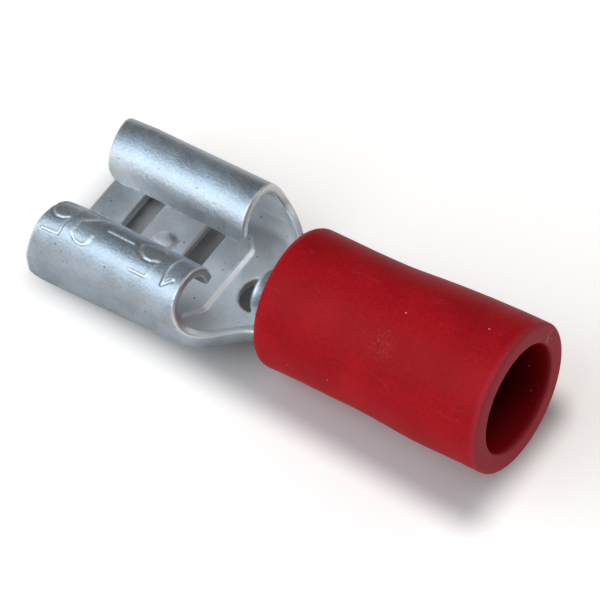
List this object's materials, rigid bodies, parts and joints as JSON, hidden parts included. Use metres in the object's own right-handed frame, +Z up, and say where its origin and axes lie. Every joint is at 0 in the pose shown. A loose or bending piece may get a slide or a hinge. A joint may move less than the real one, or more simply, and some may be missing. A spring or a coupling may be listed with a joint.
{
  "type": "female spade terminal",
  "caption": "Crimp-on female spade terminal: a sheet-metal receptacle with rolled wings that grips a flat tab, and a red vinyl sleeve over its wire barrel.",
  "frame": {"origin": "on the table under the middle of the whole part's box", "axes": "+X from the mouth towards the wire end, +Z up; the part lies at rest on its nose and on the sleeve's front rim"},
  "size_m": [0.0208, 0.0076, 0.0074],
  "materials": {
    "tinned_brass": "tin plated, satin",
    "red_vinyl": "satin, lightly dusty"
  },
  "bodies": {
    "root": {"receptacle": "tinned_brass", "insulating_sleeve": "red_vinyl"}
  },
  "joints": []
}
